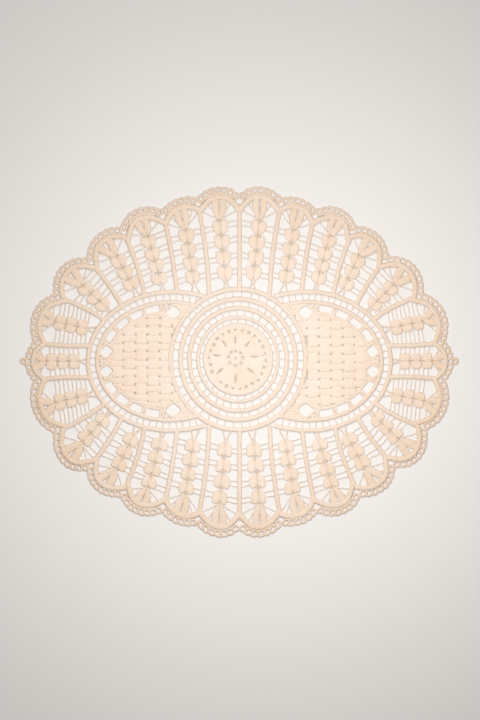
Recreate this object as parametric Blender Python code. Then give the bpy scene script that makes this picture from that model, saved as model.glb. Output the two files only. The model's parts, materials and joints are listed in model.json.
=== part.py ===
"""An oval lace doily: one flat, scalloped piece of openwork cotton lace.

The solid has the doily's outline and its largest gaps: those between the rungs of the
26 arched panels, and those round the inside of the two pointed-oval eyes. The tables
are in millimetres and hold one quarter of the pattern, measured from the middle of the
medallion: across is along the long axis (X), up is along the short axis (Y). The other
quarters are mirror images, and a few soft tugs then pull the lace out of true.
"""

import math
from itertools import pairwise

import bmesh
import bpy
from mathutils import Vector

MM = 0.001

# Driving sizes, in millimetres.
THICKNESS = 2.0
TAPE_WIDTH = 3.6  # a rib, between two panels
STEM_WIDTH = 2.8  # the plait up the middle of a panel
RUNG_WIDTH = 5.0  # a pair of leaves with its bars, across a panel
LEG_LENGTH = 6.4  # where a stem's foot parts in two, down to the tape ring
LEG_SPREAD = 3.6  # from the stem's axis to the outside of a leg's foot
RING_CLEARANCE = 1.0  # from the tape ring to the first gap outside it
SCALLOP_SEGMENTS = 8
SCALLOP_POWER = 2.3  # 2 is a parabola, and more is a fuller arch
RIB_SEGMENTS = 16

# The ribs of a quarter, from the top middle round to the end: the notch between two
# scallops that a rib points to, the point it bends towards, and its foot on the ring.
RIBS = [
    # notch across, up; bend across, up; foot across, up
    (0.0, 151.8, 0.0, 110.0, 0.0, 65.7),
    (39.0, 148.6, 28.8, 100.0, 27.8, 63.9),
    (70.7, 138.2, 61.5, 104.5, 57.1, 63.9),
    (108.4, 123.5, 92.5, 93.0, 86.7, 61.2),
    (138.9, 96.5, 117.5, 72.0, 107.3, 51.1),
    (169.8, 62.1, 138.0, 50.0, 124.6, 39.3),
    (188.0, 17.8, 163.0, 13.2, 137.0, 14.6),
]

# The panels between those ribs: the peak of the scallop, the stem's top and foot, the
# height of the first rung above the foot and the rungs' pitch, first on the side towards
# the top middle and then on the side towards the end, and the gaps on each side.
PANELS = [
    # peak; top; foot (across, up); first rung, pitch; first rung, pitch; gaps
    (19.1, 158.9, 20.1, 147.0, 12.3, 71.2, 9.2, 14.5, 8.0, 14.2, 4),
    (56.8, 148.1, 52.0, 137.0, 41.5, 70.3, 5.8, 13.5, 5.5, 12.8, 4),
    (94.4, 139.1, 87.2, 126.9, 70.8, 68.5, 8.8, 12.2, 6.0, 11.5, 4),
    (130.7, 116.1, 116.9, 106.8, 95.9, 65.7, 8.7, 11.5, 4.2, 11.8, 3),
    (162.4, 88.5, 152.0, 79.4, 119.6, 47.5, 12.0, 10.6, 4.5, 11.2, 3),
    (188.0, 45.0, 180.8, 39.3, 137.9, 30.1, 4.4, 9.0, 4.6, 9.0, 1),
]
# The pointed panel at each end, which lies across the long axis.
END_PANEL = (200.0, 0.0, 184.4, 0.0, 144.3, 0.0, 4.4, 9.0, 4.4, 9.0, 1)

# The eyes: a row of long slots on an ellipse, and a square hole near each corner.
EYE_MIDDLE = 63.5
SLOT_REACH = 60.7  # half the length and height of the ellipse through the slots
SLOT_HEIGHT = 47.9
SLOT_LENGTH = 11.4
SLOT_WIDTH = 4.2
SLOT_ANGLES = (74.5, 60.5, 45.5, 29.0)  # degrees round a quarter of the ellipse
DIAMOND_REACH = 5.2  # from a diamond-shaped hole's middle to its corners
DIAMONDS = [
    # across, up
    (61.0, 45.0),
    (121.4, 9.1),
]

# Where the lace lies out of true: a row for each tug.
TUGS = [
    # across, up, reach, pull across, pull up
    (140.0, 105.0, 60.0, -3.4, -1.2),
    (145.0, -105.0, 55.0, 3.0, -0.5),
    (-165.0, -85.0, 45.0, 0.0, -4.5),
    (-145.0, 95.0, 60.0, 0.0, -2.4),
    (0.0, -155.0, 50.0, 0.0, -2.0),
]

COTTON = (0.86, 0.76, 0.66, 1.0)


def tugged(point):
    """The point where the lace really lies, out of true by every tug near it."""
    moved = point.copy()
    for across, up, reach, pull_across, pull_up in TUGS:
        distance = (point - Vector((across, up))).length
        share = math.exp(-((distance / reach) ** 2))
        moved += share * Vector((pull_across, pull_up))
    return moved


def pairs(row, count):
    """The first numbers of a table's row, as that many points."""
    return [Vector(row[2 * n : 2 * n + 2]) for n in range(count)]


def scallop(start, peak, end):
    """A round arch on the chord between two notches, through the peak."""
    middle = (start + end) / 2
    points = []
    for step in range(SCALLOP_SEGMENTS):
        along = math.cos(math.pi * step / SCALLOP_SEGMENTS)
        height = 1 - abs(along) ** SCALLOP_POWER
        points.append(middle + along * (start - middle) + height * (peak - middle))
    return points


def rib_line(row):
    """The middle line of a rib, a quadratic curve from its foot to its notch."""
    notch, bend, foot = pairs(row, 3)
    steps = [n / RIB_SEGMENTS for n in range(RIB_SEGMENTS + 1)]
    return [foot * (1 - t) ** 2 + bend * 2 * t * (1 - t) + notch * t**2 for t in steps]


def at_height(line, foot, along, height):
    """Where a rib's line passes a height above the stem's foot, along the stem."""
    for low, high in pairwise(line):
        low_height = (low - foot).dot(along)
        high_height = (high - foot).dot(along)
        if high_height >= height:
            break
    share = (height - low_height) / (high_height - low_height)
    return low.lerp(high, share)


def side_gaps(line, foot, along, first_rung, pitch, gaps):
    """The gaps between a panel's stem and one of its ribs, from the ring outwards."""
    across = Vector((-along.y, along.x))
    if (line[0] - foot).dot(across) < 0:
        across.negate()
    stem_edge = across * STEM_WIDTH / 2
    rib_edge = across * TAPE_WIDTH / 2
    holes = []
    for rung in range(gaps):
        top = first_rung + rung * pitch - RUNG_WIDTH / 2
        upper = [at_height(line, foot, along, top) - rib_edge, foot + along * top + stem_edge]
        if rung == 0:
            seat = foot - along * (LEG_LENGTH - RING_CLEARANCE) + across * LEG_SPREAD
            rib_foot = line[0] + (line[1] - line[0]).normalized() * RING_CLEARANCE - rib_edge
            lower = [foot + stem_edge, seat, rib_foot]
        else:
            bottom = top - pitch + RUNG_WIDTH
            rib_point = at_height(line, foot, along, bottom) - rib_edge
            lower = [foot + along * bottom + stem_edge, rib_point]
        holes.append(upper + lower)
    return holes


def panel_gaps(ribs, panel):
    """The gaps on both sides of a panel's stem."""
    _, top, foot = pairs(panel, 3)
    along = (top - foot).normalized()
    *rungs, gaps = panel[6:]
    holes = []
    for line, first_rung, pitch in zip(ribs, rungs[0::2], rungs[1::2]):
        holes += side_gaps(line, foot, along, first_rung, pitch, gaps)
    return holes


def eye_slot(angle):
    """A long slot lying along the ellipse inside an eye, at an angle round the quarter."""
    turn = math.radians(angle)
    middle = Vector((EYE_MIDDLE + SLOT_REACH * math.cos(turn), SLOT_HEIGHT * math.sin(turn)))
    sideways = Vector((-SLOT_REACH * math.sin(turn), SLOT_HEIGHT * math.cos(turn))).normalized()
    outward = Vector((sideways.y, -sideways.x)) * SLOT_WIDTH / 2
    sideways *= SLOT_LENGTH / 2
    corners = [(1, 1), (1, -1), (-1, -1), (-1, 1)]
    return [middle + sideways * along + outward * out for along, out in corners]


def diamond(across, up):
    """A square hole standing on its corner."""
    middle = Vector((across, up))
    corners = [(1, 0), (0, 1), (-1, 0), (0, -1)]
    return [middle + Vector(corner) * DIAMOND_REACH for corner in corners]


def mirrored(point, side_x, side_y):
    return Vector((point.x * side_x, point.y * side_y))


def outline():
    """The scalloped edge, anticlockwise from the scallop at the right-hand end."""
    quarter = []
    for panel, (start, end) in zip(PANELS, pairwise(RIBS)):
        quarter.append((Vector(start[:2]), Vector(panel[:2]), Vector(end[:2])))
    scallops = []
    for side_x in (1, -1):
        last_notch = Vector(RIBS[-1][:2])
        corners = (mirrored(last_notch, 1, -1), Vector(END_PANEL[:2]), last_notch)
        scallops.append([mirrored(point, side_x, side_x) for point in corners])
        for side_y in (1, -1):
            for corners in quarter:
                placed = [mirrored(point, side_x, side_y) for point in corners]
                if side_x == side_y:
                    placed.reverse()
                scallops.append(placed)
    scallops.sort(key=lambda corners: math.atan2(corners[1].y, corners[1].x) % math.tau)
    return [point for corners in scallops for point in scallop(*corners)]


def quarter_gaps():
    """All the gaps of the quarter, without those of the panel at the end."""
    lines = [rib_line(row) for row in RIBS]
    holes = []
    for panel, ribs in zip(PANELS, pairwise(lines)):
        holes += panel_gaps(ribs, panel)
    holes += [eye_slot(angle) for angle in SLOT_ANGLES]
    holes += [diamond(*row) for row in DIAMONDS]
    return holes


def all_gaps():
    """The gaps of the four quarters and of the panels at the two ends."""
    last_rib = rib_line(RIBS[-1])
    holes = []
    for side_x in (1, -1):
        for side_y in (1, -1):
            for hole in quarter_gaps():
                holes.append([mirrored(point, side_x, side_y) for point in hole])
        ribs = [[mirrored(point, 1, side_y) for point in last_rib] for side_y in (1, -1)]
        for hole in panel_gaps(ribs, END_PANEL):
            holes.append([mirrored(point, side_x, 1) for point in hole])
    return holes


def openwork(loops):
    """A flat plate of the cloth's thickness, bounded by the loops, resting at height 0."""
    mesh = bmesh.new()
    edges = []
    for loop in loops:
        corners = []
        for point in loop:
            place = tugged(point) * MM
            corners.append(mesh.verts.new((place.x, place.y, 0.0)))
        for start, end in zip(corners, corners[1:] + corners[:1]):
            edges.append(mesh.edges.new((start, end)))
    bmesh.ops.triangle_fill(mesh, edges=edges, use_beauty=True, normal=(0.0, 0.0, 1.0))
    lifted = bmesh.ops.extrude_face_region(mesh, geom=mesh.faces[:])
    top_corners = [part for part in lifted["geom"] if isinstance(part, bmesh.types.BMVert)]
    bmesh.ops.translate(mesh, verts=top_corners, vec=(0.0, 0.0, THICKNESS * MM))
    bmesh.ops.recalc_face_normals(mesh, faces=mesh.faces[:])
    return mesh


def centred(mesh):
    """Moves the plate so that its box is centred on the vertical axis."""
    xs = [corner.co.x for corner in mesh.verts]
    ys = [corner.co.y for corner in mesh.verts]
    shift = (-(min(xs) + max(xs)) / 2, -(min(ys) + max(ys)) / 2, 0.0)
    bmesh.ops.translate(mesh, verts=mesh.verts[:], vec=shift)


def cotton_thread():
    material = bpy.data.materials.new("ivory cotton thread")
    material.use_nodes = True
    shader = material.node_tree.nodes["Principled BSDF"]
    shader.inputs["Base Color"].default_value = COTTON
    shader.inputs["Roughness"].default_value = 0.9
    shader.inputs["Metallic"].default_value = 0.0
    return material


def make_doily():
    mesh = openwork([outline(), *all_gaps()])
    centred(mesh)
    data = bpy.data.meshes.new("doily")
    mesh.to_mesh(data)
    mesh.free()
    data.materials.append(cotton_thread())
    doily = bpy.data.objects.new("doily", data)
    bpy.context.scene.collection.objects.link(doily)


def main():
    for thing in list(bpy.data.objects):
        bpy.data.objects.remove(thing, do_unlink=True)
    make_doily()


main()
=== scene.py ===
"""An oval lace doily in ivory cotton, laid flat on a pale floor.

Every tape, plait, leaf, bar and loop is swept along its line in the pattern. The tables
are in millimetres from the doily's middle: across is along its long axis, and up along
the short one. Most hold one quarter; the others mirror it, pulled a little out of true.
"""

import json
import math
from dataclasses import dataclass
from itertools import pairwise

import bpy
import numpy as np
from bpy.props import FloatProperty, FloatVectorProperty, PointerProperty
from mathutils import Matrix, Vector
from numpy.linalg import norm

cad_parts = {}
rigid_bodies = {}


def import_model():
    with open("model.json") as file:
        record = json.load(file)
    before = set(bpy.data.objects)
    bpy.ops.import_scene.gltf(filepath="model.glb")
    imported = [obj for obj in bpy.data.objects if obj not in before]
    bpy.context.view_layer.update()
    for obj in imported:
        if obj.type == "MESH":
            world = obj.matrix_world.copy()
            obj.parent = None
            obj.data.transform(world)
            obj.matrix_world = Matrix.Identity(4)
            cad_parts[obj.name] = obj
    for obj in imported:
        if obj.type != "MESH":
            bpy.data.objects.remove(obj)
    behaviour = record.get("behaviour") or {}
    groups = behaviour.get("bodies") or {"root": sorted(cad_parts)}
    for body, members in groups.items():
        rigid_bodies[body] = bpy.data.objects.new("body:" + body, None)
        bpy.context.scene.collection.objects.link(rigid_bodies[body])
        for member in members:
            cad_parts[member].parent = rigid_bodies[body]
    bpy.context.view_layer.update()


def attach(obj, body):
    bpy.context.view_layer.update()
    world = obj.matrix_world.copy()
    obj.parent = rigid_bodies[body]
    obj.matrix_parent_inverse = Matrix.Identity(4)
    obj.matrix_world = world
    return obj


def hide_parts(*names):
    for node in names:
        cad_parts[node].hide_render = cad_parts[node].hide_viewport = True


bl_info = {
    "name": "Lace Doily",
    "version": (1, 0, 0),
    "blender": (4, 5, 0),
    "location": "3D View > Sidebar > Lace Doily",
    "description": "Makes an oval cotton lace doily, tape by tape, and a pale floor to lay it on",
    "category": "Object",
}

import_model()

MM = 0.001
BODY = "root"
SOLID = "doily"
SEED = 26
# Threads beneath holes are given this tone: the full shaded colour, as painted shade for the shade
# inside the hole.
UNDER_SHADE = 4.0  # the tone of the threads that cross beneath a hole
FINE = 0.3  # how far apart a line's points are where it is cut to length
FULL_WIDTH = 2.4  # a petal or leaf narrower than this is lower too

UPWARD, ACROSS = 1, -1  # steps through (across, up), for a line that runs that way
SIDES = (1.0, -1.0)
HALVES = [(side, 1.0) for side in SIDES]
QUARTERS = [(across, up) for across in SIDES for up in SIDES]

# ---- the pattern's tables

# The ribs of a quarter, from the top middle to the end: the notch between two scallops,
# the point the rib bends towards, its foot, and how far it runs on into the tape there.
RIBS = [
    # notch across, up; bend across, up; foot across, up; past the foot
    (0.0, 151.8, 0.0, 110.0, 0.0, 65.7, 2.4),
    (39.0, 148.6, 28.8, 100.0, 27.8, 63.9, 5.5),
    (70.7, 138.2, 61.5, 104.5, 57.1, 63.9, 2.4),
    (108.4, 123.5, 92.5, 93.0, 86.7, 61.2, 2.4),
    (138.9, 96.5, 117.5, 72.0, 107.3, 51.1, 2.4),
    (169.8, 62.1, 138.0, 50.0, 124.6, 39.3, 2.4),
    (188.0, 17.8, 163.0, 13.2, 137.0, 14.6, 2.4),
]

# The panels between those ribs, and last the one at the doily's end.
PANELS = [
    # peak; stem's top; stem's foot (across, up); arch's depth below the peak and width
    (19.1, 158.9, 20.1, 147.0, 12.3, 71.2, 12.0, 5.4),
    (56.8, 148.1, 52.0, 137.0, 41.5, 70.3, 11.3, 5.2),
    (94.4, 139.1, 87.2, 126.9, 70.8, 68.5, 11.8, 5.0),
    (130.7, 116.1, 116.9, 106.8, 95.9, 65.7, 10.2, 4.8),
    (162.4, 88.5, 152.0, 79.4, 119.6, 47.5, 10.0, 4.8),
    (188.0, 45.0, 180.8, 39.3, 137.9, 30.1, 10.6, 4.8),
    (195.5, 0.0, 184.4, 0.0, 144.3, 0.0, 9.4, 4.4),
]
FIRST_SPREAD_PANEL = 3  # from here to the doily's end, the fans' leaves stand apart
FIRST_DENSE_PANEL = 5  # from here, the leaves are fuller and the bars closer
SCALLOP_POWER = 2.3  # 2 is a parabola, and more is a fuller arch

# The knots up each stem, where pairs of leaves meet and the plait opens in a hole, and
# the rungs of bars on each side, as heights above the stem's foot.
STEMS = [
    # first knot, pitch, pairs of leaves; rungs: first, pitch (inner); first, pitch (outer)
    (1.6, 14.05, 4, 9.2, 14.5, 8.0, 14.2),
    (-0.3, 12.7, 4, 5.8, 13.5, 5.5, 12.8),
    (1.0, 11.8, 4, 8.8, 12.2, 6.0, 11.5),
    (-0.6, 12.1, 3, 8.7, 11.5, 4.2, 11.8),
    (1.0, 10.8, 3, 12.0, 10.6, 4.5, 11.2),
    (0.5, 10.2, 3, 0.8, 3.9, 0.8, 3.9),
    (1.4, 10.15, 3, 2.2, 4.3, 2.2, 4.3),
]
LEGS = ((-8.0, 3.7), (-5.0, 2.7), (-2.2, 1.5))  # height, and distance from the axis

# A leaf beside the stem: its edges from the stem's axis, up to the next knot.
LEAF_EDGES = (
    (0.05, 0.08, 0.14, 0.25, 0.42, 0.64, 0.80, 0.90, 0.96, 0.99),  # share of the pitch
    (1.0, 0.7, 0.5, 0.4, 0.35, 0.35, 0.6, 1.5, 2.9, 3.9),  # inner edge
    (1.9, 2.5, 4.0, 5.8, 6.9, 7.3, 7.3, 6.8, 6.0, 5.0),  # outer edge
)

# The same for the fuller leaves at the doily's ends.
FULL_LEAF_EDGES = (
    (0.03, 0.06, 0.13, 0.26, 0.45, 0.65, 0.82, 0.92, 0.97),
    (1.1, 0.6, 0.4, 0.35, 0.35, 0.35, 0.5, 1.2, 2.6),
    (2.6, 4.3, 5.9, 6.7, 7.0, 7.1, 6.9, 6.3, 5.0),
)

# A fan's leaf: how far from the axis halfway and at its end, how wide, and how much of
# the way to the arch it runs.
FAN = (3.3, 3.6, 6.4, 1.0)
SPREAD_FAN = (3.7, 5.7, 7.2, 0.95)
FAN_WIDTHS = (0.28, 0.62, 0.9, 1.0, 1.0, 0.96, 0.84)  # from the knot to the arch
FAN_RAYS = (36.0, 62.0)  # degrees from the fan's axis

# The medallion's tape rings, and how many bars cross the gap inside each.
MEDALLION_MIDDLE = (-1.2, 1.5)
RINGS = [
    # half width, half height, tape's width, bars inside
    (61.5, 64.1, 4.3, 46),
    (52.5, 55.0, 4.4, 42),
    (44.5, 46.8, 4.1, 36),
    (36.4, 38.3, 3.2, 32),
    (29.9, 31.0, 4.4, 0),
]

# The flower: petals round one middle, and a tape ring round another.
FLOWER_MIDDLE = (-3.6, 2.3)
FLOWER_SLITS = (5.0, 50.0, 91.0, 127.0, 171.0, 219.0, 270.0, 321.0, 365.0)  # degrees
PETAL_STATIONS = (7.2, 8.4, 12.4, 13.6, 19.0, 20.2)  # from the flower's middle
PETAL_GAPS = (0.8, -2.2, -2.2, 0.9, 0.9, -2.2)  # how far apart two petals are there
# Low rings beneath the petals' slits, coloured in painted shade.
FLOWER_SHADE_BACKINGS = ((7.6, 3.6), (16.3, 9.0))  # radius and width
FLOWER_RING_MIDDLE = (-1.7, 1.5)
PETAL_ENDS = (23.9, 24.9)
# A low ring beneath the holes round the petals' ends, coloured in painted shade.
FLOWER_RING_SHADE_BACKING = (25.5, 26.5)
FLOWER_RING = (28.0, 29.0)
FLOWER_BARS = 26
FLOWER_BAR = ((23.2, 24.2), (27.6, 28.6))  # from one round to another

# The eyes: outer and inner tape, and the ring through the long slots.
EYE_MIDDLE = 63.5
EYE_OUTER = (74.5, 63.2)
EYE_INNER = (66.2, 53.9)
EYE_BORDER = (56.9, 44.4)
EYE_BAR_PITCH = 5.7
EYE_SPOKES = (83.0, 67.5, 53.0, 37.3, 20.5)  # degrees, between the slots
DIAMOND_FULLNESS = 1.3  # 1 has straight sides, and 2 is an ellipse
DIAMONDS = [
    # middle across, up; half its width and height
    (60.4, 44.6, 7.0, 6.0),
    (121.4, 9.1, 6.0, 5.6),
]
DIAMOND_PLAITS = [
    # short plaits beside the diamonds: from across, up; to across, up; width
    (114.5, 0.9, 127.5, 0.9, 2.2),
    (124.2, 2.9, 127.9, 2.9, 2.4),
    (66.2, 48.4, 67.4, 52.6, 3.4),
]
CORNER_PLAITS = (43.0, 45.2, 47.4, 49.6, 51.4)  # how far up, from the ring to a diamond

# The ground of an eye: where it ends, and its rows of tallies.
GROUND_EDGE = (56.6, 44.1)
GROUND_RING = (63.2, 65.8)  # the edge round the medallion
# A low band beside the medallion's ring, beneath the ground's holes, coloured in painted shade.
RING_SHADE_BACKING = (67.0, 69.6)
GROUNDS = [
    # side, first tally across, up; pitch across, up
    (1.0, 78.1, -5.1, 10.96, 15.5),
    (-1.0, 78.3, -2.4, 11.1, 15.3),
]
TALLY_GAP = 1.3  # between two columns of tallies
TALLY_HALF_HEIGHT = 5.1
TALLY_DIP = 0.42

# Where the lace lies out of true, tug by tug.
TUGS = [
    # across, up, reach, pull across, pull up
    (140.0, 105.0, 60.0, -3.4, -1.2),
    (145.0, -105.0, 55.0, 3.0, -0.5),
    (-165.0, -85.0, 45.0, 0.0, -4.5),
    (-145.0, 95.0, 60.0, 0.0, -2.4),
    (0.0, -155.0, 50.0, 0.0, -2.0),
]
CENTRING = (0.0148, 0.8643)


# ---- lines of the pattern


def points(*rows):
    return np.array(rows, dtype=float)


def unit(vector):
    return vector / norm(vector)


def left_of(way):
    return np.array([-way[1], way[0]])


def towards(turn):
    """The unit vector at an angle."""
    return np.array([math.cos(turn), math.sin(turn)])


def laid(line):
    """Where a line really lies, out of true by every tug near it."""
    moved = line + CENTRING
    for across, up, reach, pull_across, pull_up in TUGS:
        distance = np.hypot(line[:, 0] - across, line[:, 1] - up)
        share = np.exp(-((distance / reach) ** 2))
        moved = moved + share[:, None] * (pull_across, pull_up)
    return moved


def lengths(line):
    """The distance along a line to each of its points."""
    steps = np.hypot(*np.diff(line, axis=0).T)
    return np.concatenate([[0.0], np.cumsum(steps)])


def between(line, measures, places):
    """Where a line passes some places, from a measure of each of its points."""
    return np.stack([np.interp(places, measures, line[:, n]) for n in (0, 1)], axis=-1)


def evenly(line, spacing, closed=False):
    """The line with its points about that far apart."""
    if closed:
        line = np.vstack([line, line[:1]])
    along = lengths(line)
    count = max(3, round(along[-1] / spacing)) + (not closed)
    return between(line, along, np.linspace(0.0, along[-1], count, endpoint=not closed))


def oval(middle, half, start=0.0, end=360.0, count=240):
    """Points round an ellipse, between two angles in degrees."""
    is_open = end - start < 360.0
    turn = np.radians(np.linspace(start, end, count, endpoint=is_open))
    across = middle[0] + half[0] * np.cos(turn)
    return np.stack([across, middle[1] + half[1] * np.sin(turn)], axis=1)


def across_ovals(middle, halves, degrees):
    """A line from one ellipse to another, at an angle from their middle."""
    return np.vstack([oval(middle, half, degrees, degrees, 2)[:1] for half in halves])


def in_oval(line, middle, half):
    """Which points of a line lie inside an ellipse."""
    return (((line - middle) / half) ** 2).sum(axis=1) < 1.0


def scallop(start, peak, end):
    """A round arch on the chord between two points, through the peak."""
    along = np.cos(np.linspace(0.0, math.pi, 60))[:, None]
    middle = (start + end) / 2
    rise = 1 - np.abs(along) ** SCALLOP_POWER
    return middle + along * (start - middle) + rise * (peak - middle)


def rib_line(row):
    """The middle line of a rib, from its foot to its notch."""
    notch, bend, foot = np.reshape(row[:6], (3, 2))
    t = np.linspace(0.0, 1.0, 80)[:, None]
    return foot * (1 - t) ** 2 + bend * 2 * t * (1 - t) + notch * t**2


def smooth(rows, count=12):
    """A curve through a few points."""
    p = np.vstack([2 * rows[0] - rows[1], rows, 2 * rows[-1] - rows[-2]])
    parts = []
    t = np.linspace(0.0, 1.0, count, endpoint=False)[:, None]
    for a, b, c, d in zip(p[:-3], p[1:-2], p[2:-1], p[3:]):
        bend = 2 * a - 5 * b + 4 * c - d + t * (3 * (b - c) + d - a)
        parts.append(b + 0.5 * t * (c - a + t * bend))
    return np.vstack([*parts, rows[-1:]])


def sideways(line, closed=False):
    """Unit vectors to the left of a line, at each of its points."""
    if closed:
        forward = np.roll(line, -1, axis=0) - np.roll(line, 1, axis=0)
    else:
        forward = np.gradient(line, axis=0)
    forward /= norm(forward, axis=1)[:, None]
    return np.stack([-forward[:, 1], forward[:, 0]], axis=1)


# ---- threads into meshes


@dataclass
class Thread:
    """How one kind of tape, plait or bar is made: sizes in millimetres."""

    width: float
    height: float
    lift: float = 0.0
    sides: int = 8
    spacing: float = 0.45
    stitch: float = 1.3  # the pitch of the ridges across it
    relief: float = 0.1
    slant: float = 0.0  # how far those ridges lean
    ply: int = 0  # how many of them wind round it
    square: float = 1.0  # below 1, its section is boxier
    stray: float = 0.16  # how far it wanders from its line
    ridges: float = 0.0  # the pitch of the ridges along it


def put(name, data):
    """Makes an object and puts it in the scene."""
    made = bpy.data.objects.new(name, data)
    bpy.context.scene.collection.objects.link(made)
    return made


def squared(values, power):
    """Sines or cosines, fuller at a section's corners for a power below 1."""
    return np.sign(values) * np.abs(values) ** power


class Work:
    """The threads gathered for one piece, until it becomes a mesh."""

    WAVES = (17.0, 9.0, 5.0)  # the lengths of the waves that make a thread uneven
    WIDTH_UNEVENNESS = 0.05
    RIDGE_RELIEF = 0.13
    SIDE_RELIEF = 0.35  # of a flat thread's relief, how much shows at its sides
    LOWEST = 0.02  # above the floor

    def __init__(self, seed):
        self.random = np.random.default_rng(SEED + seed)
        self.corners, self.threads, self.loops, self.sizes = [], [], [], []
        self.total = 0

    def unevenness(self, share, length, size):
        """A slow wave along a thread, the same at both ends."""
        wave = np.zeros_like(share)
        for reach in self.WAVES:
            turns = max(1, round(length / reach))
            swing = self.random.normal(0.0, 0.6)
            wave += swing * np.sin(math.tau * (turns * share + self.random.random()))
        return wave * size

    def sweep(self, line, kind, flip=(1.0, 1.0), closed=False, width=None, height=None,
              even=True, across=None, tone=None):
        """Adds a thread of a kind along a line. width and height may vary along it.

        across is the way its width points, where that isn't square to the line, and tone
        is how deep its colour is: 0 to 1 for most, and full painted shade for the threads
        beneath a hole.
        """
        line = line * np.array(flip)
        if even:
            line = evenly(line, kind.spacing, closed)
        line = laid(line)
        count = len(line)
        left = sideways(line, closed)
        if across is not None:
            way = unit(across * np.array(flip))
            left = np.sign(left @ way)[:, None] * way
        along = lengths(line)
        share = np.linspace(0.0, 1.0, count, endpoint=not closed)
        line = line + left * self.unevenness(share, along[-1], kind.stray)[:, None]
        half_width = self.profile(width or kind.width, share) / 2
        half_width = half_width * (1 + self.unevenness(share, along[-1], self.WIDTH_UNEVENNESS))
        half_height = self.profile(height or kind.height, share) / 2

        turn = (np.arange(kind.sides) + 0.5) * math.tau / kind.sides
        reach = half_width[:, None] * squared(np.cos(turn), kind.square)
        shift = self.random.uniform(0.0, math.tau)
        stitch = kind.stitch
        if closed:
            total = along[-1] + norm(line[0] - line[-1])
            stitch = total / max(1, round(total / kind.stitch))
        phase = math.tau * (along[:, None] + kind.slant * np.abs(reach)) / stitch
        wave = np.cos(phase + kind.ply * turn + shift)
        swell = 1 + kind.relief * wave
        if kind.ridges:
            swell = swell * (1 + self.RIDGE_RELIEF * np.cos(math.tau * reach / kind.ridges))
        side_swell = 1 + kind.relief * wave * (1.0 if kind.ply else self.SIDE_RELIEF)
        out = reach * side_swell
        up = kind.lift + half_height[:, None] * (1 + squared(np.sin(turn), kind.square) * swell)

        corners = np.empty((count, kind.sides, 3))
        corners[:, :, :2] = line[:, None] + left[:, None] * out[:, :, None]
        corners[:, :, 2] = np.maximum(up, self.LOWEST)
        facts = np.empty_like(corners)
        facts[:, :, 0] = (np.abs(along - total / 2) if closed else along)[:, None]
        facts[:, :, 1] = reach
        facts[:, :, 2] = self.random.uniform(0.0, 1.0) if tone is None else tone
        self.corners.append(corners.reshape(-1, 3))
        self.threads.append(facts.reshape(-1, 3))
        self.skin(count, kind.sides, closed)

    def skin(self, count, sides, closed):
        """Adds a thread's faces, ring by ring, and caps on its ends."""
        ring = np.arange(count if closed else count - 1)[:, None] * sides
        after = (ring + sides) % (count * sides)
        here = np.arange(sides)[None, :]
        following = (here + 1) % sides
        quads = [after + here, after + following, ring + following, ring + here]
        self.loops.append(np.stack(quads, axis=2).reshape(-1) + self.total)
        self.sizes.append(np.full(len(ring) * sides, 4))
        if not closed:
            first = np.arange(sides)
            for cap in (first, (count - 1) * sides + first[::-1]):
                self.loops.append(cap + self.total)
                self.sizes.append(np.array([sides]))
        self.total += count * sides

    @staticmethod
    def profile(value, share):
        return value(share) if callable(value) else np.full(len(share), float(value))

    def piece(self, name, material):
        """Makes the piece, in the frame, riding on the doily's body."""
        corners = np.concatenate(self.corners) * MM
        loops = np.concatenate(self.loops)
        sizes = np.concatenate(self.sizes)
        data = bpy.data.meshes.new(name)
        data.vertices.add(len(corners))
        data.vertices.foreach_set("co", corners.ravel())
        data.loops.add(len(loops))
        data.loops.foreach_set("vertex_index", loops.astype(np.int32))
        data.polygons.add(len(sizes))
        starts = np.concatenate([[0], np.cumsum(sizes)[:-1]])
        data.polygons.foreach_set("loop_start", starts.astype(np.int32))
        data.update(calc_edges=True)
        data.validate()
        data.polygons.foreach_set("use_smooth", np.ones(len(data.polygons), dtype=bool))
        facts = np.concatenate(self.threads).astype(np.float32)
        thread = data.attributes.new("thread", "FLOAT_VECTOR", "POINT")
        thread.data.foreach_set("vector", facts.ravel())
        data.materials.append(material)
        made = put(name, data)
        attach(made, BODY)


# ---- materials


class Shading:
    """A new material and the steps that its nodes are built with."""

    def __init__(self, name, roughness):
        self.material = bpy.data.materials.new(name)
        self.material.use_nodes = True
        self.nodes = self.material.node_tree.nodes
        self.link = self.material.node_tree.links.new
        self.shader = self.nodes["Principled BSDF"]
        self.shader.inputs["Roughness"].default_value = roughness
        self.shader.inputs["Specular IOR Level"].default_value = 0.2

    def add(self, kind, **settings):
        node = self.nodes.new(kind)
        for key, value in settings.items():
            setattr(node, key, value)
        return node

    def maths(self, operation, *values):
        node = self.add("ShaderNodeMath", operation=operation)
        for socket, value in zip(node.inputs, values):
            if isinstance(value, (int, float)):
                socket.default_value = value
            else:
                self.link(value, socket)
        return node.outputs[0]

    def noise(self, scale, place=None, detail=2.0):
        node = self.add("ShaderNodeTexNoise")
        node.inputs["Scale"].default_value = scale
        node.inputs["Detail"].default_value = detail
        if place:
            self.link(place, node.inputs["Vector"])
        return node.outputs["Fac"]

    def blend(self, first, second, factor):
        node = self.add("ShaderNodeMix", data_type="RGBA", clamp_factor=True)
        colours = [socket for socket in node.inputs if socket.type == "RGBA"]
        for socket, colour in zip(colours, (first, second)):
            if isinstance(colour, bpy.types.NodeSocket):
                self.link(colour, socket)
            else:
                socket.default_value = (*colour, 1.0)
        self.link(factor, node.inputs["Factor"])
        return next(socket for socket in node.outputs if socket.type == "RGBA")


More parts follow.
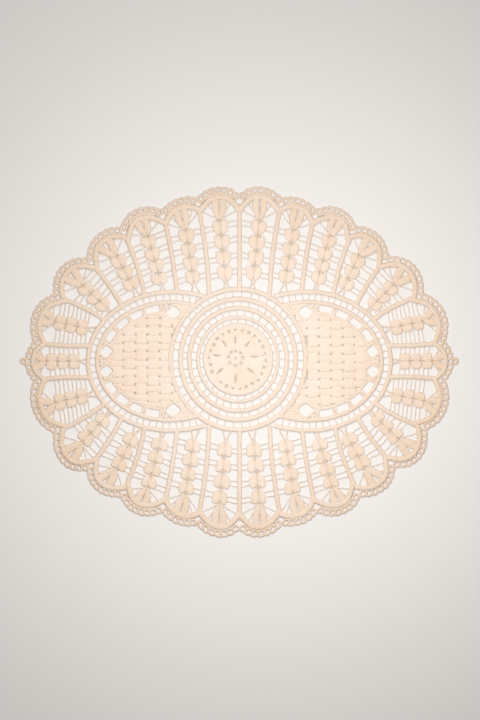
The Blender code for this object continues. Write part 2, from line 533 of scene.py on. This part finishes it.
def cotton(sizes, name, stitch, weave=0.0, depth=1.0):
    """Ivory cotton: fine stitches across the thread, fibres and an uneven tone, with
    painted shade between the stitches, towards the rim and on the threads beneath holes.

    weave adds ridges along it, as in cloth work, and depth deepens the colour.
    """
    found = bpy.data.materials.get(name)
    if found:
        return found
    shading = Shading(name, 0.9)
    add, maths, noise, link = shading.add, shading.maths, shading.noise, shading.link
    shading.shader.inputs["Sheen Weight"].default_value = 0.12
    shading.shader.inputs["Sheen Roughness"].default_value = 0.5

    thread = add("ShaderNodeAttribute", attribute_name="thread")
    parts = add("ShaderNodeSeparateXYZ")
    link(thread.outputs["Vector"], parts.inputs[0])
    along, across, tone = parts.outputs
    place = add("ShaderNodeTexCoord").outputs["Object"]
    fibre = noise(2600.0, place, 3.0)
    patch = noise(26.0, place)
    mottle = noise(420.0, place)

    # Stitches: a fine ridge for each thread across the tape, waved a little.
    waved = maths("MULTIPLY", along, math.tau / stitch)
    waved = maths("ADD", waved, maths("MULTIPLY", across, 1.3))
    ridge = maths("MULTIPLY_ADD", maths("SINE", waved), 0.5, 0.5)
    if weave:
        ribbed = maths("SINE", maths("MULTIPLY", across, math.tau / weave))
        ribbed = maths("MULTIPLY_ADD", ribbed, 0.5, 0.5)
        ridge = maths("MULTIPLY_ADD", ribbed, 0.65, maths("MULTIPLY", ridge, 0.35))
    height = maths("ADD", maths("MULTIPLY", ridge, 0.7), maths("MULTIPLY", fibre, 0.6))
    bump = add("ShaderNodeBump")
    bump.inputs["Strength"].default_value = 0.8
    bump.inputs["Distance"].default_value = 0.00025
    link(height, bump.inputs["Height"])
    link(bump.outputs["Normal"], shading.shader.inputs["Normal"])

    # Colour: painted shade between the stitches and towards the rim, an uneven tone,
    # and painted shade on the threads beneath holes.
    # Painted shade towards the rim: darker as the light falls off away from the middle.
    from_middle = add("ShaderNodeVectorMath", operation="LENGTH")
    link(place, from_middle.inputs[0])
    rim = maths("MULTIPLY", maths("SUBTRACT", from_middle.outputs["Value"], 0.065), 3.4)
    # Painted shade in the furrows between the stitches.
    furrow_shade = maths("SUBTRACT", 1.0, ridge)
    deepening_and_shade = maths("MULTIPLY_ADD", furrow_shade, 0.2, maths("MULTIPLY", tone, 0.16))
    deepening_and_shade = maths("ADD", deepening_and_shade, maths("MULTIPLY", patch, 0.36))
    deepening_and_shade = maths("ADD", deepening_and_shade, maths("MULTIPLY", maths("SUBTRACT", mottle, 0.5), 0.7))
    deepening_and_shade = maths("ADD", deepening_and_shade, maths("MAXIMUM", rim, 0.0))
    deepening_and_shade = maths("MULTIPLY_ADD", deepening_and_shade, depth, -0.2)
    # The threads beneath holes are mixed to the shaded colour: painted shade for the shade inside
    # the holes.
    shaded = maths("MULTIPLY", maths("SUBTRACT", tone, 1.0), 1.0 / (UNDER_SHADE - 1.0))
    mixed = shading.blend(sizes.light_cotton, sizes.deep_cotton_and_shade, deepening_and_shade)
    mixed = shading.blend(mixed, sizes.shaded_cotton, shaded)
    link(mixed, shading.shader.inputs["Base Color"])
    return shading.material


# ---- motifs


def petal(work, line, kind, flip, widths, even=True, across=None, tone=None, dip=0.0):
    """A woven petal or leaf, as wide along its line as the widths say.

    It is lower where it is narrow. dip is the share of its height lost at both ends.
    """
    stations = np.linspace(0.0, 1.0, len(widths))

    def width(share):
        return np.interp(share, stations, widths)

    def height(share):
        full = kind.height * np.clip(width(share) / FULL_WIDTH, 0.35, 1.0)
        return full * (1 - dip * np.abs(2 * share - 1) ** 8)

    work.sweep(line, kind, flip, width=width, height=height, even=even, across=across, tone=tone)


# Kinds of thread: first the width and the height.
TAPE = Thread(4.2, 1.9, spacing=0.75, stitch=3.0, relief=0.16, square=0.85)
ARCH = Thread(5.2, 2.2, spacing=0.75, stitch=3.0, relief=0.14, square=0.85)
LINING = Thread(2.6, 1.7, sides=6, spacing=0.75, stitch=3.0, relief=0.14, stray=0.05)
PLAIT = Thread(1.45, 1.5, sides=6, stitch=1.7, relief=0.16, slant=0.9, stray=0.08)
WIDE_PLAIT = Thread(2.0, 1.5, stitch=1.7, relief=0.15, slant=0.8)
LINK = Thread(5.6, 1.7, sides=10, stitch=1.7, relief=0.12, slant=0.5, square=0.75, stray=0.06)
LEAF = Thread(5.0, 1.9, sides=14, spacing=0.5, stitch=1.9, relief=0.2, square=0.8, stray=0.0)
FAN_LEAF = Thread(5.0, 1.8, sides=12, spacing=0.6, stitch=1.9, relief=0.2, square=0.8, stray=0.05)
PETAL = Thread(5.0, 1.7, sides=12, spacing=0.42, stitch=1.2, relief=0.08, square=0.8, stray=0.05)
BLOCK = Thread(9.4, 2.1, sides=44, stitch=2.4, relief=0.05, square=0.8, stray=0.0, ridges=1.9)
# Low threads beneath holes and slits, coloured in painted shade so that the holes read dark.
SHADE_BACKING = Thread(3.0, 0.35, sides=4, spacing=1.2, stitch=3.0, relief=0.0, stray=0.0)
BAR = Thread(1.0, 1.1, lift=0.15, sides=5, spacing=0.53, stitch=1.6, relief=0.18, ply=2)
LOOP = Thread(2.2, 1.6, sides=7, spacing=0.6, stitch=1.5, relief=0.12, slant=0.8, stray=0.06)


# ---- the medallion


def make_rings(work):
    for *half, width, _ in RINGS:
        work.sweep(oval(MEDALLION_MIDDLE, half), TAPE, closed=True, width=width)


def make_ring_bars(work):
    for (*outer, tape, count), (*inner, next_tape, _) in pairwise(RINGS):
        halves = (np.array(outer) - tape * 0.3, np.array(inner) + next_tape * 0.3)
        jitter = work.random.uniform(-0.16, 0.16, count)
        for n in range(count):
            degrees = (n + jitter[n]) * 360.0 / count
            work.sweep(across_ovals(MEDALLION_MIDDLE, halves, degrees), BAR)


def make_flower(work):
    """Eight woven petals with slits between them, and a hub."""
    middle = np.array(FLOWER_MIDDLE)
    ring = np.array(FLOWER_RING_MIDDLE)
    for before, after in pairwise(FLOWER_SLITS):
        out = towards(math.radians((before + after) / 2))
        reach = norm(ring + out * PETAL_ENDS - middle)
        reaches = np.linspace(PETAL_STATIONS[0], reach, 18)
        gaps = np.interp(reaches, PETAL_STATIONS, PETAL_GAPS)
        widths = 2 * math.tan(math.radians(after - before) / 2) * reaches - gaps
        line = middle + out * reaches[[0, -1], None]
        petal(work, line, PETAL, (1.0, 1.0), widths)
        work.sweep(points(middle + out * 3.5, middle + out * 8.6), WIDE_PLAIT, width=2.6)
    work.sweep(oval(middle, (3.2, 3.2)), LEAF, closed=True, width=4.4, height=1.9)
    # Low rings beneath the slits and the holes round the petals, in painted shade.
    for reach, width in FLOWER_SHADE_BACKINGS:
        work.sweep(oval(middle, (reach, reach)), SHADE_BACKING, closed=True, width=width, tone=UNDER_SHADE)
    work.sweep(oval(ring, FLOWER_RING_SHADE_BACKING), SHADE_BACKING, closed=True, width=4.0, tone=UNDER_SHADE)
    work.sweep(oval(ring, FLOWER_RING), TAPE, closed=True, width=3.0, height=1.7)
    for n in range(FLOWER_BARS):
        out = towards(math.tau * (n + 0.3) / FLOWER_BARS)
        work.sweep(points(*(ring + out * half for half in FLOWER_BAR)), WIDE_PLAIT, width=4.5)


# ---- the eyes


def eye_outer_line():
    """The outer tape of an eye: half an ellipse, then flatter."""
    far = oval((EYE_MIDDLE, 0.0), EYE_OUTER, -90.0, 90.0, 160)
    across = np.linspace(31.5, EYE_MIDDLE, 40, endpoint=False)
    up = EYE_OUTER[1] - 3.7 * ((EYE_MIDDLE - across) / 29.7) ** 2
    start = np.stack([across, -up], axis=1)
    end = np.stack([across, up], axis=1)[::-1]
    return np.vstack([start, far, end])


def make_eye_tapes(work):
    for flip in HALVES:
        work.sweep(eye_outer_line(), TAPE, flip, width=4.0)
        work.sweep(oval((EYE_MIDDLE, 0.0), EYE_INNER, -113.0, 113.0), TAPE, flip, width=3.7)


def make_eye_bars(work):
    for flip in HALVES:
        line = evenly(oval((EYE_MIDDLE, 0.0), EYE_INNER, -110.0, 110.0), EYE_BAR_PITCH)
        for place, out in zip(line, -sideways(line)):
            lean = work.random.uniform(-0.08, 0.08)
            end = place + (out + lean * left_of(out)) * 8.4
            work.sweep(points(place + out * 1.2, end), BAR, flip)


def off_diamonds(line, margin):
    """Which points of a line are over a margin outside a quarter's diamonds."""
    clear = np.ones(len(line), dtype=bool)
    for row in DIAMONDS:
        out = np.abs(line - row[:2]) / (np.array(row[2:]) + margin)
        clear &= (out**DIAMOND_FULLNESS).sum(axis=1) > 1.0
    return clear


def medallion_middle(side):
    """The medallion's middle, as an eye's half is drawn before it is mirrored."""
    return (side * MEDALLION_MIDDLE[0], MEDALLION_MIDDLE[1])


def in_ground(line, side):
    """Which points of a line lie on an eye's ground, inside its border."""
    inside = in_oval(line, (EYE_MIDDLE, 0.0), GROUND_EDGE)
    clear = ~in_oval(line, medallion_middle(side), GROUND_RING)
    return inside & clear & off_diamonds(np.abs(line), 0.6)


def woven_patch(work, middle, half, kind, side, way, tone=None, dip=0.0):
    """A woven block or broad plait, cut short where it would leave the ground.

    half is half its size across and up, and way is how its line runs.
    """
    wide, long = half[::way]
    spread = np.linspace(-wide, wide, 25)
    stations, widths, best = [], [], ([], [])
    for step in np.linspace(-long, long, max(9, round(long / 0.32))):
        row = np.stack([spread, np.full(len(spread), step)][::way], axis=1)
        kept = spread[in_ground(row + middle, side)]
        if len(kept) > 5:
            stations.append(((kept[0] + kept[-1]) / 2, step)[::way])
            widths.append(kept[-1] - kept[0])
            if len(widths) > len(best[1]):
                best = (stations, widths)
        else:
            stations, widths = [], []
    if len(best[1]) > 6:
        line = np.array(best[0]) + middle
        across = np.array((1.0, 0.0)[::way])
        petal(work, line, kind, (side, 1.0), best[1], False, across, tone, dip)


def make_ground(work):
    """Rows of woven tallies, with a broad plait from each to the next."""
    for side, first_across, first_up, pitch_across, pitch_up in GROUNDS:
        tally = ((pitch_across - TALLY_GAP) / 2, TALLY_HALF_HEIGHT)
        link = (pitch_across - tally[0] + 0.8, pitch_up / 2 - 4.45)
        # Low bands beneath the holes by the ring and between the columns, in painted shade.
        shade_beside_ring = oval(medallion_middle(side), RING_SHADE_BACKING, -31.0, 31.0)
        work.sweep(shade_beside_ring, SHADE_BACKING, (side, 1.0), width=8.5, tone=UNDER_SHADE)
        for column in range(-3, 6):
            if column > -2:
                gap = (first_across + (column + 0.5) * pitch_across, 0.0)
                woven_patch(work, gap, (1.4, 45.0), SHADE_BACKING, side, UPWARD, UNDER_SHADE)
            for row in range(-4, 5):
                across = first_across + column * pitch_across + work.random.uniform(-0.3, 0.3)
                up = first_up + row * pitch_up + (pitch_up / 2 if column % 2 else 0.0)
                up += work.random.uniform(-0.2, 0.2)
                woven_patch(work, (across, up), tally, BLOCK, side, UPWARD, dip=TALLY_DIP)
                woven_patch(work, (across + pitch_across, up), link, LINK, side, ACROSS)


def border_stretches():
    """The parts of an eye's border, in a quarter, clear of the diamonds."""
    border = evenly(oval((EYE_MIDDLE, 0.0), EYE_BORDER, 0.0, 98.0), FINE)
    clear = off_diamonds(border, 0.8)
    cuts = np.flatnonzero(np.diff(clear)) + 1
    stretches = zip(np.split(border, cuts), np.split(clear, cuts))
    return [line for line, kept in stretches if kept[0] and len(line) > 6]


def diamond_side(row):
    """A closed line round a diamond, just outside its gap."""
    turn = np.linspace(0.0, math.tau, 48, endpoint=False)
    shape = np.stack([np.cos(turn), np.sin(turn)], axis=1)
    reach = (np.abs(shape) ** DIAMOND_FULLNESS).sum(axis=1)[:, None]
    shape /= reach ** (1 / DIAMOND_FULLNESS)
    return shape * (np.array(row[2:]) + 1.1) + row[:2]


def make_eye_border(work):
    """The plait inside the slots, the spokes between, and the diamonds' sides."""
    ring_wide, ring_high = RINGS[0][:2]
    stretches = border_stretches()
    for flip in QUARTERS:
        for stretch in stretches:
            work.sweep(stretch, WIDE_PLAIT, flip, width=2.6)
        for row in DIAMOND_PLAITS:
            work.sweep(points(row[0:2], row[2:4]), WIDE_PLAIT, flip, width=row[4])
        for up in CORNER_PLAITS:
            ring_edge = ring_wide * math.sqrt(1 - (up / ring_high) ** 2)
            plait = evenly(points((ring_edge, up), (DIAMONDS[0][0], up)), FINE)
            work.sweep(plait[off_diamonds(plait, 1.0)], WIDE_PLAIT, flip, width=2.6)
        for degrees in EYE_SPOKES:
            spoke = across_ovals((EYE_MIDDLE, 0.0), (EYE_INNER, EYE_BORDER), degrees)
            for side in SIDES:
                work.sweep(spoke + side * sideways(spoke), WIDE_PLAIT, flip, width=2.1)
        for row in DIAMONDS:
            work.sweep(diamond_side(row), WIDE_PLAIT, flip, closed=True, width=2.3, height=1.7)


# ---- the panels


class Panel:
    """A panel of the border: its axis, ribs and arch."""

    def __init__(self, number):
        row = PANELS[number]
        self.peak, top, self.foot = np.reshape(row[:6], (3, 2))
        self.depth, self.arch_width = row[6:]
        self.first_knot, self.pitch, self.pairs, *self.rungs = STEMS[number]
        self.along = unit(top - self.foot)
        self.outer = -left_of(self.along)
        self.ribs = [rib_line(row) for row in RIBS[number:number + 2]]
        if len(self.ribs) < 2:
            self.ribs.append(self.ribs[0] * (1.0, -1.0))
        self.is_dense = number >= FIRST_DENSE_PANEL
        self.fan = SPREAD_FAN if number >= FIRST_SPREAD_PANEL else FAN
        self.top_height = self.first_knot + self.pairs * self.pitch
        self.knot = self.place(self.top_height)
        self.leaf = np.array(FULL_LEAF_EDGES if self.is_dense else LEAF_EDGES).T

    def place(self, height, across=0.0):
        """The point at a height up the stem and a distance towards the outer side."""
        return self.foot + self.along * height + self.outer * across

    def rib_at(self, rib, height):
        """Where a rib passes a height above the stem's foot."""
        return between(rib, (rib - self.foot) @ self.along, height)

    def moved_in(self, line, distance):
        """A line along the edge, moved towards the stem's foot."""
        inward = sideways(line)
        if inward[len(line) // 2] @ (self.foot - self.peak) < 0:
            inward = -inward
        return line + inward * distance

    def edge(self, inset):
        """The scalloped edge, moved in and drawn on to the ribs at both ends."""
        start, end = (rib[-1] for rib in self.ribs)
        line = self.moved_in(evenly(scallop(start, self.peak, end), FINE), inset)
        steps = np.arange(FINE, 16.0, FINE)[:, None]
        before = line[0] + unit(line[0] - line[3]) * steps
        after = line[-1] + unit(line[-1] - line[-4]) * steps
        line = np.vstack([before[::-1], line, after])
        for rib in self.ribs:
            left = left_of(unit(rib[-1] - rib[-8]))
            if left @ (self.place(40.0) - rib[-1]) < 0:
                left = -left
            line = line[(line - rib[-1]) @ left > -0.1]
        return line

    def chain(self):
        """The looped edging's middle line, from notch to notch."""
        ends = [rib[-1] + unit(rib[-9] - rib[-1]) * 3.0 + self.outer * side * 1.2
                for rib, side in zip(self.ribs, SIDES)]
        inward = unit((ends[0] + ends[1]) / 2 - self.peak)
        return scallop(ends[0], self.peak + inward * 3.3, ends[1])

    def lining(self):
        """A line just inside the chain, where the arch is close to it."""
        line = self.moved_in(evenly(self.chain(), 0.4), 3.3)
        return line[int(len(line) * 0.13):int(len(line) * 0.87)]

    def arch(self):
        """The arch tape's middle line, from rib to rib."""
        line = self.edge(self.depth - self.arch_width / 2)
        share = np.linspace(-1.0, 1.0, len(line))[:, None]
        inward = unit(self.foot - self.peak)
        rounded = line + inward * 1.6 * np.abs(share) ** 6
        for _ in range(30):
            rounded[1:-1] = (rounded[:-2] + rounded[2:]) / 2
        return rounded


def each_panel():
    """Every panel with the ways it is mirrored."""
    for number in range(len(PANELS)):
        panel = Panel(number)
        for flip in QUARTERS if number < len(PANELS) - 1 else HALVES:
            yield panel, flip


def make_ribs(work):
    """The ribs, narrower and lower where they meet the arches."""
    for number, row in enumerate(RIBS):
        rib = rib_line(row)
        rib = np.vstack([rib[0] + unit(rib[0] - rib[1]) * row[6], rib])
        along = lengths(rib)
        rib = rib[along < along[-1] - 8.4]
        for flip in QUARTERS:
            if number or flip[0] > 0:  # the first rib is its own mirror image
                work.sweep(rib, TAPE, flip, width=lambda share: TAPE.width * (1 - 0.35 * share**36),
                           height=lambda share: TAPE.height * (1 - 0.45 * share**36))


def make_arches(work):
    """The arches, a little lower where they meet, and the linings outside them."""
    for panel, flip in each_panel():
        work.sweep(panel.arch(), ARCH, flip, width=panel.arch_width,
                   height=lambda share: ARCH.height * (1 - 0.2 * np.abs(2 * share - 1) ** 12))
        work.sweep(panel.lining(), LINING, flip)


def from_tape(line):
    """A leg's line from the middle of the tape it meets, not beyond."""
    tapes = np.vstack([eye_outer_line(), oval(MEDALLION_MIDDLE, RINGS[0][:2])])
    away = norm(line[:40, None] - tapes, axis=2).min(axis=1)
    return line[np.argmin(away):]


def make_stems(work):
    """Two plaits up each panel, open in a hole at every knot."""
    for panel, flip in each_panel():
        knots = panel.first_knot + np.arange(panel.pairs + 1) * panel.pitch
        # A low thread beneath each knot's hole, in painted shade.
        for knot in knots[1:]:
            beneath = points(panel.place(knot, -2.4), panel.place(knot, 2.4))
            work.sweep(beneath, SHADE_BACKING, flip, tone=UNDER_SHADE)
        for knot in knots[:-1]:
            ends = (panel.place(knot + panel.pitch * share) for share in (0.3, 0.8))
            work.sweep(points(*ends), PLAIT, flip, height=1.75)
        for side in SIDES:
            heights = np.arange(0.0, knots[-1] + 0.8, 0.8)
            open_by = sum(0.8 * np.exp(-(((heights - knot) / 1.3) ** 2)) for knot in knots)
            legs = [panel.place(height, side * apart) for height, apart in LEGS]
            line = [panel.place(h, side * (0.74 + gap)) for h, gap in zip(heights, open_by)]
            work.sweep(from_tape(smooth(np.array(legs + line), 4)), PLAIT, flip)


def make_leaves(work):
    """Woven leaves in pairs, each from a knot of the stem to the next."""
    for panel, flip in each_panel():
        edges = smooth(panel.leaf, 3)
        for pair in range(panel.pairs):
            low = panel.first_knot + pair * panel.pitch
            for side in SIDES:
                size = work.random.uniform(0.9, 1.07)
                lift = work.random.uniform(-0.4, 0.4)
                share, inner, outer = edges.T[:, :, None]
                up = low + lift + share * panel.pitch
                line = panel.place(up, side * size * (inner + outer) / 2)
                widths = size * (edges[:, 2] - edges[:, 1])
                petal(work, line, LEAF, flip, widths, even=False, across=panel.outer)


def make_fans(work):
    """Two broad leaves from each stem's top knot to the arch."""
    for panel, flip in each_panel():
        reach = panel.peak - panel.knot
        axis = unit(reach)
        length = norm(reach) - panel.depth + 1.8
        across = -left_of(axis)
        halfway, end, wide, end_share = panel.fan
        widths = np.array(FAN_WIDTHS) * wide
        for side in SIDES:
            line = points(
                panel.knot + across * side * 0.9 + axis * 0.4,
                panel.knot + across * side * halfway + axis * length * 0.5,
                panel.knot + across * side * end + axis * length * end_share,
            )
            petal(work, smooth(line), FAN_LEAF, flip, widths)


def fan_rays(panel):
    """Thin bars from the top knot to the arch, on each side of the fan."""
    arch = panel.arch()
    reach = unit(panel.peak - panel.knot)
    across = -left_of(reach)
    for side in SIDES:
        for degrees in FAN_RAYS:
            turn = math.radians(degrees)
            way = reach * math.cos(turn) + across * side * math.sin(turn)
            offsets = arch - panel.knot
            miss = np.abs(offsets @ left_of(way))
            miss[offsets @ way < 0] = np.inf
            hit = arch[np.argmin(miss)]
            if norm(hit - panel.knot) > 6.0:
                yield points(panel.knot + way * 2.0, hit)


def rung_heights(panel, first, pitch):
    """Where a panel's bars start on the stem and end on the rib."""
    if panel.is_dense:
        return [(height, height) for height in np.arange(first, panel.top_height, pitch)]
    spans = []
    height = first
    while height < panel.top_height + 1.0:
        spans += [(height - 1.9, height - 2.5), (height + 1.9, height + 2.5)]
        height += pitch
    return spans


def make_panel_bars(work):
    """The rays of the fans, and the rungs from the leaves to the ribs."""
    for panel, flip in each_panel():
        for line in fan_rays(panel):
            work.sweep(line, BAR, flip)
        rungs = (panel.rungs[0:2], panel.rungs[2:4])
        for rib, side, (first, pitch) in zip(panel.ribs, SIDES[::-1], rungs):
            for stem_height, rib_height in rung_heights(panel, first, pitch):
                share = (stem_height - panel.first_knot) / panel.pitch
                reach = 0.0
                if 0 < share < panel.pairs:
                    reach = np.interp(share % 1, panel.leaf[:, 0], panel.leaf[:, 2])
                start = panel.place(stem_height, side * max(0.9, reach - 1.8))
                end = panel.rib_at(rib, rib_height - side * 0.9)
                work.sweep(points(start, end), BAR, flip)


# ---- the edging


def make_edging(work):
    """A chain of small loops round the scallops, and one at each end."""
    turn = np.linspace(0.0, math.tau, 24, endpoint=False)
    round_along = squared(np.cos(turn), 0.8)
    round_out = squared(np.sin(turn), 0.8)
    for panel, flip in each_panel():
        line = panel.chain()
        total = lengths(line)[-1]
        places = evenly(line, total / round(total / 5.5))
        for start, end in pairwise(places):
            half = norm(end - start) / 2 - 0.15
            forward = unit(end - start)
            tilt = work.random.uniform(-1.1, -0.4)
            tall = 2.5 * work.random.uniform(0.94, 1.06)
            along = half * round_along + tilt * round_out
            ring = (start + end) / 2 + forward * along[:, None]
            ring = ring + left_of(forward) * tall * round_out[:, None]
            work.sweep(ring, LOOP, flip, closed=True)
    for flip in HALVES:
        work.sweep(oval((196.7, 0.0), (2.3, 2.3)), LOOP, flip, closed=True)


# ---- the stage


def make_floor(sizes):
    """A pale, plain floor, wide enough for every view."""
    reach = sizes.floor_width / 2
    data = bpy.data.meshes.new("floor")
    turns = ((-1, -1), (1, -1), (1, 1), (-1, 1))
    corners = [(across * reach, up * reach, 0.0) for across, up in turns]
    data.from_pydata(corners, [], [(0, 1, 2, 3)])
    shading = Shading("pale floor", 0.75)
    dimmer = [value * 0.985 for value in sizes.floor_colour]
    mixed = shading.blend(sizes.floor_colour, dimmer, shading.noise(3.0))
    shading.link(mixed, shading.shader.inputs["Base Color"])
    data.materials.append(shading.material)
    floor = put("floor", data)


def make_lamps(sizes):
    """A soft lamp from the upper left, and a broad one close overhead."""
    for name, size, place, power in (
        ("key_light", 0.6, (-0.7, 2.3, 2.5), sizes.key_power),
        ("top_light", 0.3, (0.036, -0.012, 0.455), sizes.top_power),
    ):
        data = bpy.data.lights.new(name, "AREA")
        data.shape = "DISK"
        data.size = size
        data.energy = power
        lamp = put(name, data)
        lamp.location = place
        lamp.rotation_mode = "QUATERNION"
        lamp.rotation_quaternion = (-Vector(place)).to_track_quat("-Z", "Y")


def make_camera(sizes):
    """A camera straight above, nearly over the doily's middle."""
    data = bpy.data.cameras.new("camera")
    height = 1.6
    data.lens = data.sensor_width * height / sizes.view_height
    camera = put("camera", data)
    camera.location = (0.0005, 0.0018, height)
    bpy.context.scene.camera = camera


def make_world(sizes):
    world = bpy.data.worlds.new("soft room light")
    world.use_nodes = True
    shade = world.node_tree.nodes["Background"]
    shade.inputs["Color"].default_value = (1.0, 0.985, 0.97, 1.0)
    shade.inputs["Strength"].default_value = sizes.room_light
    bpy.context.scene.world = world
    bpy.context.scene.view_settings.view_transform = "Standard"


# ---- the add-on


class DoilySizes(bpy.types.PropertyGroup):
    """The sizes and colours of the doily and its stage."""

    # The light colour is the thread's own. The deep one carries an uneven tone, and painted shade
    # between the stitches and towards the rim.
    light_cotton: FloatVectorProperty(
        name="Light cotton", description="The colour of the thread where it stands proud",
        subtype="COLOR", size=3, min=0.0, max=1.0, default=(0.89, 0.76, 0.65))
    deep_cotton_and_shade: FloatVectorProperty(
        name="Deep cotton", description="The colour of the thread between the stitches",
        subtype="COLOR", size=3, min=0.0, max=1.0, default=(0.80, 0.572, 0.392))
    # Painted shade: the darker, greyer colour of the low threads beneath holes, for the shade
    # inside them.
    shaded_cotton: FloatVectorProperty(
        name="Shaded cotton", description="The colour of the threads that cross beneath a hole",
        subtype="COLOR", size=3, min=0.0, max=1.0, default=(0.72, 0.60, 0.47))
    floor_colour: FloatVectorProperty(
        name="Floor", description="The colour of the floor under the doily",
        subtype="COLOR", size=3, min=0.0, max=1.0, default=(0.80, 0.765, 0.735))
    floor_width: FloatProperty(
        name="Floor width", description="How wide the floor is",
        default=6.0, min=0.5, unit="LENGTH")
    view_height: FloatProperty(
        name="View height", description="How much of the floor the camera sees, top to bottom",
        default=0.657, min=0.1, unit="LENGTH")
    key_power: FloatProperty(
        name="Key light", description="The strength of the soft light from the upper left",
        default=32.0, min=0.0, unit="POWER")
    top_power: FloatProperty(
        name="Top light", description="The strength of the broad light overhead",
        default=1.78, min=0.0, unit="POWER")
    room_light: FloatProperty(
        name="Room light", description="The strength of the even light from all round",
        default=0.262, min=0.0)


def make_piece(context, seed, name, cotton_kind, *steps):
    """Makes a piece: the threads that each step adds, in one kind of cotton."""
    work = Work(seed)
    for step in steps:
        step(work)
    work.piece(name, cotton(context.scene.doily_sizes, *cotton_kind))


class DOILY_OT_tapes(bpy.types.Operator):
    """Make the woven tapes and the fans, which hold the doily together"""

    bl_idname = "doily.tapes"
    bl_label = "Tapes and fans"

    def execute(self, context):
        make_piece(context, 1, "tapes", ("ivory cotton tape", 0.75), make_rings,
                   make_eye_tapes, make_ribs, make_arches, make_fans)
        return {"FINISHED"}


class DOILY_OT_stems(bpy.types.Operator):
    """Make the double plaits up the panels, and the leaves that grow from them"""

    bl_idname = "doily.stems"
    bl_label = "Stems and leaves"

    def execute(self, context):
        make_piece(context, 2, "stems", ("ivory cotton plait", 0.6), make_stems)
        make_piece(context, 3, "leaves", ("ivory cotton leaf", 0.6, 0.8), make_leaves)
        return {"FINISHED"}


class DOILY_OT_bars(bpy.types.Operator):
    """Make the thin twisted bars: ladders between tapes, rungs and rays"""

    bl_idname = "doily.bars"
    bl_label = "Twisted bars"

    def execute(self, context):
        twist = ("ivory cotton twist", 0.8, 0.0, 0.4)
        make_piece(context, 4, "ladder_bars", twist, make_ring_bars, make_eye_bars)
        make_piece(context, 5, "panel_bars", twist, make_panel_bars)
        return {"FINISHED"}


class DOILY_OT_grounds(bpy.types.Operator):
    """Make the flower of the medallion and the woven grounds of the two eyes"""

    bl_idname = "doily.grounds"
    bl_label = "Flower and grounds"

    def execute(self, context):
        cloth_work = ("ivory cotton cloth work", 0.6, 0.85)
        make_piece(context, 6, "flower", cloth_work, make_flower)
        make_piece(context, 7, "eye_grounds", cloth_work, make_ground, make_eye_border)
        return {"FINISHED"}


class DOILY_OT_edging(bpy.types.Operator):
    """Make the chain of small loops round the scalloped edge"""

    bl_idname = "doily.edging"
    bl_label = "Looped edging"

    def execute(self, context):
        make_piece(context, 8, "edging", ("ivory cotton edging", 0.6), make_edging)
        return {"FINISHED"}


class DOILY_OT_lay(bpy.types.Operator):
    bl_idname = "doily.lay"
    bl_label = "Lay the lace"

    def execute(self, context):
        things = bpy.data.objects
        names = ["stems", "leaves", "ladder_bars", "panel_bars", "flower", "eye_grounds", "edging"]
        missing = [name for name in ["tapes", *names] if name not in things]
        if missing:
            raise RuntimeError("make these first: " + ", ".join(missing))
        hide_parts(SOLID)
        return {"FINISHED"}


class DOILY_OT_stage(bpy.types.Operator):
    """Make the floor, the camera and the soft light"""

    bl_idname = "doily.stage"
    bl_label = "Stage"

    def execute(self, context):
        sizes = context.scene.doily_sizes
        make_floor(sizes)
        make_lamps(sizes)
        make_world(sizes)
        make_camera(sizes)
        return {"FINISHED"}


class DOILY_PT_panel(bpy.types.Panel):
    """The doily's sizes, colours and steps"""

    bl_idname = "DOILY_PT_panel"
    bl_label = "Lace Doily"
    bl_space_type = "VIEW_3D"
    bl_region_type = "UI"
    bl_category = "Lace Doily"

    def draw(self, context):
        for name in DoilySizes.__annotations__:
            self.layout.prop(context.scene.doily_sizes, name)
        for step in STEPS:
            self.layout.operator(step.bl_idname)


STEPS = (DOILY_OT_tapes, DOILY_OT_stems, DOILY_OT_bars, DOILY_OT_grounds, DOILY_OT_edging,
         DOILY_OT_lay, DOILY_OT_stage)
CLASSES = (DoilySizes, *STEPS, DOILY_PT_panel)


def register():
    for kind in CLASSES:
        bpy.utils.register_class(kind)
    bpy.types.Scene.doily_sizes = PointerProperty(type=DoilySizes)


def unregister():
    del bpy.types.Scene.doily_sizes
    for kind in reversed(CLASSES):
        bpy.utils.unregister_class(kind)


def main():
    register()
    bpy.ops.doily.tapes()
    bpy.ops.doily.stems()
    bpy.ops.doily.bars()
    bpy.ops.doily.grounds()
    bpy.ops.doily.edging()
    bpy.ops.doily.lay()
    bpy.ops.doily.stage()


if __name__ == "__main__":
    main()
